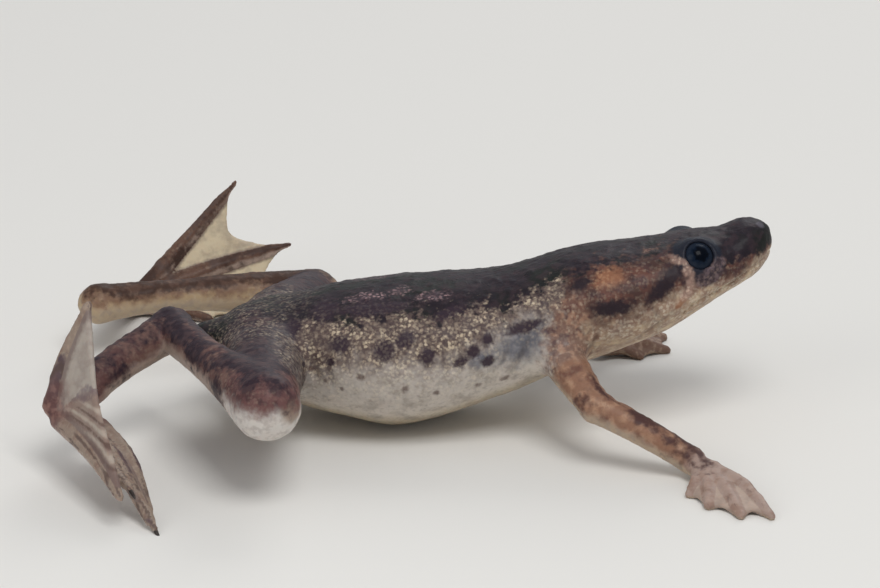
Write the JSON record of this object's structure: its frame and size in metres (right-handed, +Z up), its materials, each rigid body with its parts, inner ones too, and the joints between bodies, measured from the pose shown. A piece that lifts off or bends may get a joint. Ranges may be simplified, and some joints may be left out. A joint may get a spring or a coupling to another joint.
{
  "type": "african dwarf frog model",
  "caption": "Still life-size model of a small water frog walking over the bottom, with granular skin, webbed hands and feet and one hind foot lifted.",
  "frame": {"origin": "middle of the model's footprint, on the floor it rests on", "axes": "+X from the vent to the snout, +Y to the frog's left, +Z up"},
  "size_m": [0.044, 0.0418, 0.0125],
  "materials": {
    "skin_body": "wet granular skin, purplish brown above and pale below",
    "skin_limb": "wet granular skin, reddish brown with darker bars",
    "skin_web": "thin wet skin, tan and slightly translucent",
    "eye": "wet black pupil in a dark blue-black iris",
    "claw": "black horn, smooth"
  },
  "bodies": {
    "root": {"head": "skin_body", "torso": "skin_body", "eye_right": "eye", "eye_left": "eye", "upper_arm_right": "skin_limb", "forearm_right": "skin_limb", "hand_right": "skin_web", "upper_arm_left": "skin_limb", "forearm_left": "skin_limb", "hand_left": "skin_web", "thigh_right": "skin_limb", "shank_right": "skin_limb", "tarsus_right": "skin_limb", "foot_right": "skin_web", "thigh_left": "skin_limb", "shank_left": "skin_limb", "tarsus_left": "skin_limb", "foot_left": "skin_web"}
  },
  "joints": []
}
